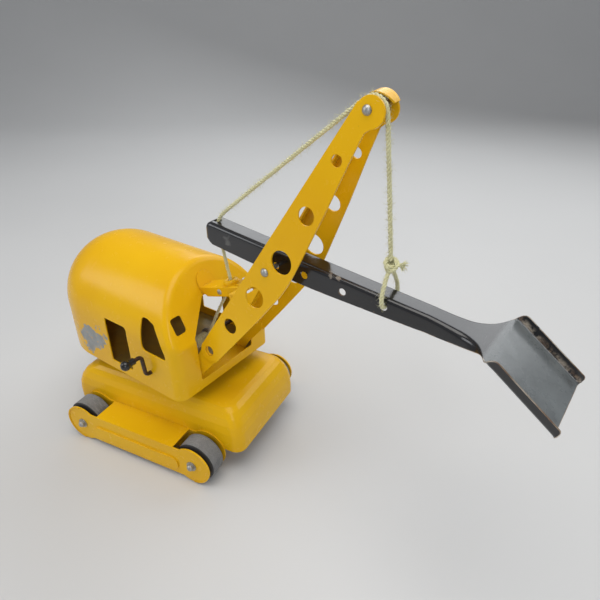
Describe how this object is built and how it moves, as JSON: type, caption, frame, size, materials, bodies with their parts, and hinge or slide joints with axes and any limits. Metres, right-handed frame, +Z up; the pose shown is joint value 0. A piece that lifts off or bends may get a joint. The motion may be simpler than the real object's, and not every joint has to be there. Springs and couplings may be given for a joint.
{
  "type": "toy power shovel",
  "caption": "Pressed steel toy power shovel with a slewing arched house on wheeled track frames, a drilled boom, and a string-hoisted dipper arm ending in an open scoop",
  "frame": {"origin": "on the floor under the middle of the toy's outline, string left out", "axes": "+X along the boom from the house to the scoop, +Y to the left of the house, +Z up; the undercarriage stands turned 9.9 degrees about +Z"},
  "size_m": [0.5242, 0.2122, 0.3808],
  "materials": {
    "yellow_enamel": "glossy golden yellow enamel on pressed steel, lightly chipped and soiled at the edges",
    "black_enamel": "gloss black enamel, worn to primer and rust on the edges of the scoop",
    "tyre_rubber": "hard dark grey rubber, dusty on the tread",
    "wheel_hub": "black wheel centre",
    "bright_steel": "zinc plated steel, dulled with age",
    "dark_wire": "dark brown japanned steel wire",
    "knob_black": "moulded black plastic",
    "sheave_steel": "plain turned steel",
    "twine": "three-strand cream cotton twine, hairy"
  },
  "bodies": {
    "undercarriage": {"base_shell": "yellow_enamel", "track_frame_left": "yellow_enamel", "track_frame_right": "yellow_enamel", "turntable": "yellow_enamel", "slew_rivet": "bright_steel", "axle_front": "bright_steel", "axle_rear": "bright_steel", "axle_cap_front_left": "bright_steel", "axle_cap_front_right": "bright_steel", "axle_cap_rear_left": "bright_steel", "axle_cap_rear_right": "bright_steel"},
    "wheel_front_left": {"wheel_hub_front_left": "wheel_hub", "tyre_front_left": "tyre_rubber"},
    "wheel_front_right": {"wheel_hub_front_right": "wheel_hub", "tyre_front_right": "tyre_rubber"},
    "wheel_rear_left": {"wheel_hub_rear_left": "wheel_hub", "tyre_rear_left": "tyre_rubber"},
    "wheel_rear_right": {"wheel_hub_rear_right": "wheel_hub", "tyre_rear_right": "tyre_rubber"},
    "house": {"house_shell": "yellow_enamel", "house_floor": "yellow_enamel", "boom_foot_bracket": "yellow_enamel", "boom_side_right": "yellow_enamel", "boom_side_left": "yellow_enamel", "boom_stay": "yellow_enamel", "string_guide": "yellow_enamel", "stay_rivet_right": "bright_steel", "stay_rivet_left": "bright_steel", "head_rivet": "bright_steel", "pivot_pin": "bright_steel", "head_guard": "yellow_enamel", "string_lower": "twine", "string_upper": "twine", "string_wrap": "twine", "string_drop": "twine"},
    "winch": {"crank_rod": "dark_wire", "crank_knob": "knob_black", "winch_drum": "bright_steel", "shaft_collar_right": "bright_steel", "shaft_collar_left": "bright_steel", "string_winding": "twine"},
    "sheave": {"head_sheave": "sheave_steel"},
    "dipper": {"dipper_scoop": "black_enamel", "string_in_arm": "twine", "string_knot": "twine", "string_loop": "twine"}
  },
  "joints": [
    {"name": "house_slew", "type": "hinge", "parent": "undercarriage", "child": "house", "pos_m": [-0.12675, 0, 0.0909], "axis": [0, 0, 1], "continuous": true},
    {"name": "wheel_front_left_spin", "type": "hinge", "parent": "undercarriage", "child": "wheel_front_left", "pos_m": [-0.06777, 0.08627, 0.0222], "axis": [-0.1718, 0.9851, 0], "continuous": true},
    {"name": "wheel_front_right_spin", "type": "hinge", "parent": "undercarriage", "child": "wheel_front_right", "pos_m": [-0.04204, -0.06121, 0.0222], "axis": [-0.1718, 0.9851, 0], "continuous": true},
    {"name": "wheel_rear_left_spin", "type": "hinge", "parent": "undercarriage", "child": "wheel_rear_left", "pos_m": [-0.21146, 0.06121, 0.0222], "axis": [-0.1718, 0.9851, 0], "continuous": true},
    {"name": "wheel_rear_right_spin", "type": "hinge", "parent": "undercarriage", "child": "wheel_rear_right", "pos_m": [-0.18573, -0.08627, 0.0222], "axis": [-0.1718, 0.9851, 0], "continuous": true},
    {"name": "dipper_pivot", "type": "hinge", "parent": "house", "child": "dipper", "pos_m": [0.02545, 0, 0.2375], "axis": [0, 1, 0], "range_deg": [-20, 45], "deforming": ["string_lower", "string_upper", "string_drop"]},
    {"name": "winch_turn", "type": "hinge", "parent": "house", "child": "winch", "pos_m": [-0.09015, 0, 0.1126], "axis": [0, 1, 0], "range_deg": [-700, 320]},
    {"name": "sheave_turn", "type": "hinge", "parent": "house", "child": "sheave", "pos_m": [0.10475, 0, 0.3696], "axis": [0, 1, 0], "range_deg": [-180, 390]}
  ],
  "couplings": [
    {"joint": "winch_turn", "follows": "dipper_pivot", "ratio": -14.7},
    {"joint": "sheave_turn", "follows": "dipper_pivot", "ratio": 8.2}
  ]
}
